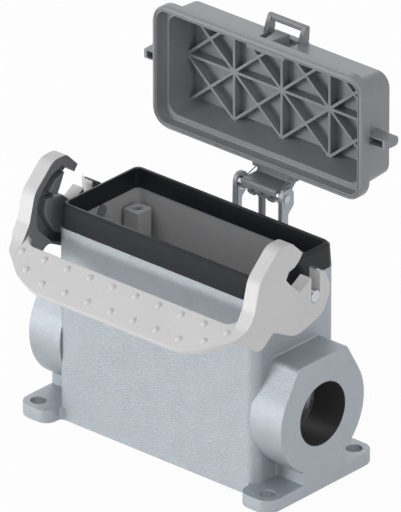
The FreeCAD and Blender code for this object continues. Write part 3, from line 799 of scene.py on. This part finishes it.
def area_light(name, place, target, width, height, power):
    """Soft lamp that looks at a point."""
    lamp = bpy.data.lights.new(name, "AREA")
    lamp.shape = "RECTANGLE"
    lamp.size = width
    lamp.size_y = height
    lamp.energy = power
    holder = bpy.data.objects.new(name, lamp)
    holder.location = place
    holder.rotation_euler = (target - place).to_track_quat("-Z", "Y").to_euler()
    bpy.context.scene.collection.objects.link(holder)


def seen_share(tree, share):
    """Value that is a share for rays that show the backdrop, and nothing for rays that light."""
    rays = tree.nodes.new("ShaderNodeLightPath")
    total = rays.outputs["Is Camera Ray"]
    for kind in ("Is Glossy Ray", "Is Transmission Ray"):
        either = tree.nodes.new("ShaderNodeMath")
        either.operation = "MAXIMUM"
        tree.links.new(total, either.inputs[0])
        tree.links.new(rays.outputs[kind], either.inputs[1])
        total = either.outputs["Value"]
    scaled = tree.nodes.new("ShaderNodeMath")
    scaled.operation = "MULTIPLY"
    scaled.inputs[1].default_value = share
    tree.links.new(total, scaled.inputs[0])
    return scaled.outputs["Value"]


def studio_world(colour, strength):
    """White to the camera and in reflections, softer as light on the part."""
    world = bpy.data.worlds.new("studio")
    world.use_nodes = True
    tree = world.node_tree
    shown = tree.nodes["Background"]
    shown.inputs["Color"].default_value = (1.0, 1.0, 1.0, 1.0)
    shown.inputs["Strength"].default_value = 1.0
    soft = tree.nodes.new("ShaderNodeBackground")
    soft.inputs["Color"].default_value = (*colour, 1.0)
    soft.inputs["Strength"].default_value = strength
    mix = tree.nodes.new("ShaderNodeMixShader")
    tree.links.new(seen_share(tree, 1.0), mix.inputs["Fac"])
    tree.links.new(soft.outputs["Background"], mix.inputs[1])
    tree.links.new(shown.outputs["Background"], mix.inputs[2])
    tree.links.new(mix.outputs["Shader"], tree.nodes["World Output"].inputs["Surface"])
    bpy.context.scene.world = world


def floor_material(values):
    """Floor that shows almost white and keeps a soft shadow."""
    material = bpy.data.materials.new("studio_floor")
    material.use_nodes = True
    tree = material.node_tree
    paint = tree.nodes["Principled BSDF"]
    paint.inputs["Base Color"].default_value = (*values.floor_colour, 1.0)
    paint.inputs["Roughness"].default_value = values.floor_roughness
    glow = tree.nodes.new("ShaderNodeEmission")
    glow.inputs["Strength"].default_value = 1.0
    mix = tree.nodes.new("ShaderNodeMixShader")
    tree.links.new(seen_share(tree, values.floor_white), mix.inputs["Fac"])
    tree.links.new(paint.outputs["BSDF"], mix.inputs[1])
    tree.links.new(glow.outputs["Emission"], mix.inputs[2])
    tree.links.new(mix.outputs["Shader"], tree.nodes["Material Output"].inputs["Surface"])
    return material


class CONNECTOR_OT_stage(bpy.types.Operator):
    """Set the floor, the studio light and the camera"""

    bl_idname = "connector.stage"
    bl_label = "Stage"

    def execute(self, context):
        values = settings().stage
        half = values.floor_half
        low = -values.floor_drop
        mesh = bpy.data.meshes.new("floor")
        corners = [(-half, -half, low), (half, -half, low), (half, half, low), (-half, half, low)]
        mesh.from_pydata(corners, [], [(0, 1, 2, 3)])
        mesh.materials.append(floor_material(values))
        floor = bpy.data.objects.new("floor", mesh)
        context.scene.collection.objects.link(floor)
        studio_world(values.ambient_colour, values.ambient)
        target = Vector((0, values.target_y, values.target_z))
        for name, power, place, width, height in LAMPS:
            area_light(name, Vector(place), target, width, height, getattr(values, power))
        flat = math.cos(values.elevation)
        facing = Vector((
            math.sin(values.azimuth) * flat,
            -math.cos(values.azimuth) * flat,
            math.sin(values.elevation),
        ))
        lens = bpy.data.cameras.new("camera")
        lens.lens = values.lens
        camera = bpy.data.objects.new("camera", lens)
        camera.location = target + facing * values.distance
        camera.rotation_euler = (-facing).to_track_quat("-Z", "Y").to_euler()
        context.scene.collection.objects.link(camera)
        context.scene.camera = camera
        context.scene.view_settings.view_transform = "Standard"
        return {"FINISHED"}


class CONNECTOR_PT_panel(bpy.types.Panel):
    """Sidebar panel that lists the settings and the steps"""

    bl_idname = "CONNECTOR_PT_panel"
    bl_label = "Connector housing"
    bl_space_type = "VIEW_3D"
    bl_region_type = "UI"
    bl_category = "Connector"

    def draw(self, context):
        values = context.scene.connector
        for operator in OPERATORS:
            self.layout.operator(operator.bl_idname)
        for group in ("casting", "gasket", "lever", "lid", "hinge", "stage"):
            box = self.layout.box()
            box.label(text=group.capitalize())
            piece = getattr(values, group)
            for name in piece.__annotations__:
                box.prop(piece, name)


OPERATORS = (
    CONNECTOR_OT_casting,
    CONNECTOR_OT_gasket,
    CONNECTOR_OT_lever,
    CONNECTOR_OT_lid,
    CONNECTOR_OT_hinge,
    CONNECTOR_OT_stage,
)
CLASSES = (
    CastingSettings,
    GasketSettings,
    LeverSettings,
    LidSettings,
    HingeSettings,
    StageSettings,
    ConnectorSettings,
    *OPERATORS,
    CONNECTOR_PT_panel,
)


def register():
    """Add the classes and the settings."""
    for item in CLASSES:
        bpy.utils.register_class(item)
    bpy.types.Scene.connector = bpy.props.PointerProperty(type=ConnectorSettings)


def unregister():
    """Take the classes and the settings away."""
    del bpy.types.Scene.connector
    for item in reversed(CLASSES):
        bpy.utils.unregister_class(item)


def main():
    """Make every piece and the stage."""
    register()
    bpy.ops.connector.casting()
    bpy.ops.connector.gasket()
    bpy.ops.connector.lever()
    bpy.ops.connector.lid()
    bpy.ops.connector.hinge()
    bpy.ops.connector.stage()


if __name__ == "__main__":
    main()
